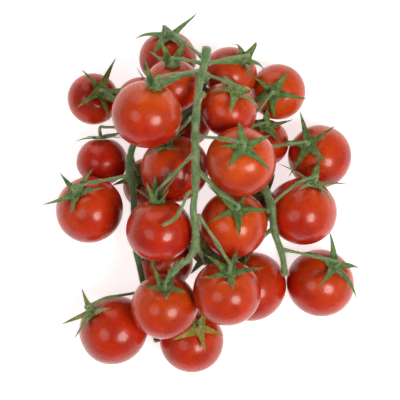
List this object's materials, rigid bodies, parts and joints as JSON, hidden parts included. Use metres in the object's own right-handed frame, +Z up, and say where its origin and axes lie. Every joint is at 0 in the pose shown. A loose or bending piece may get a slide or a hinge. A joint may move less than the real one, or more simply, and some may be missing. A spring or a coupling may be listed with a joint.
{
  "type": "truss of tomatoes",
  "caption": "Forked truss of ripe red cherry tomatoes lying on a surface, on curved green stalks with leafy star-shaped calyxes.",
  "frame": {"origin": "on the surface that the truss lies on, under the middle of its box", "axes": "+Z up from the surface; +Y along the truss towards the thick cut end of its main stalk; +X across it, to the right when seen from above with +Y away from the viewer"},
  "size_m": [0.1452, 0.1674, 0.0847],
  "materials": {
    "tomato_skin": "smooth waxy gloss",
    "calyx_green": "matt, finely hairy",
    "stalk_green": "matt, covered in short pale hairs"
  },
  "bodies": {
    "root": {"tomato_01": "tomato_skin", "tomato_02": "tomato_skin", "tomato_03": "tomato_skin", "tomato_04": "tomato_skin", "tomato_05": "tomato_skin", "tomato_06": "tomato_skin", "tomato_07": "tomato_skin", "tomato_08": "tomato_skin", "tomato_09": "tomato_skin", "tomato_10": "tomato_skin", "tomato_11": "tomato_skin", "tomato_12": "tomato_skin", "tomato_13": "tomato_skin", "tomato_14": "tomato_skin", "tomato_15": "tomato_skin", "tomato_16": "tomato_skin", "tomato_17": "tomato_skin", "tomato_18": "tomato_skin", "tomato_19": "tomato_skin", "tomato_20": "tomato_skin", "tomato_21": "tomato_skin", "tomato_22": "tomato_skin", "tomato_23": "tomato_skin", "tomato_24": "tomato_skin", "tomato_25": "tomato_skin", "tomato_26": "tomato_skin", "tomato_27": "tomato_skin", "tomato_28": "tomato_skin", "calyx_01": "calyx_green", "calyx_02": "calyx_green", "calyx_03": "calyx_green", "calyx_04": "calyx_green", "calyx_05": "calyx_green", "calyx_06": "calyx_green", "calyx_07": "calyx_green", "calyx_08": "calyx_green", "calyx_09": "calyx_green", "calyx_10": "calyx_green", "calyx_11": "calyx_green", "calyx_12": "calyx_green", "calyx_13": "calyx_green", "calyx_14": "calyx_green", "calyx_15": "calyx_green", "calyx_16": "calyx_green", "calyx_17": "calyx_green", "calyx_18": "calyx_green", "calyx_19": "calyx_green", "calyx_20": "calyx_green", "calyx_21": "calyx_green", "calyx_22": "calyx_green", "calyx_23": "calyx_green", "calyx_24": "calyx_green", "calyx_25": "calyx_green", "calyx_26": "calyx_green", "calyx_27": "calyx_green", "calyx_28": "calyx_green", "main_rachis": "stalk_green", "left_rachis": "stalk_green", "right_rachis": "stalk_green", "bare_pedicel": "stalk_green"}
  },
  "joints": []
}
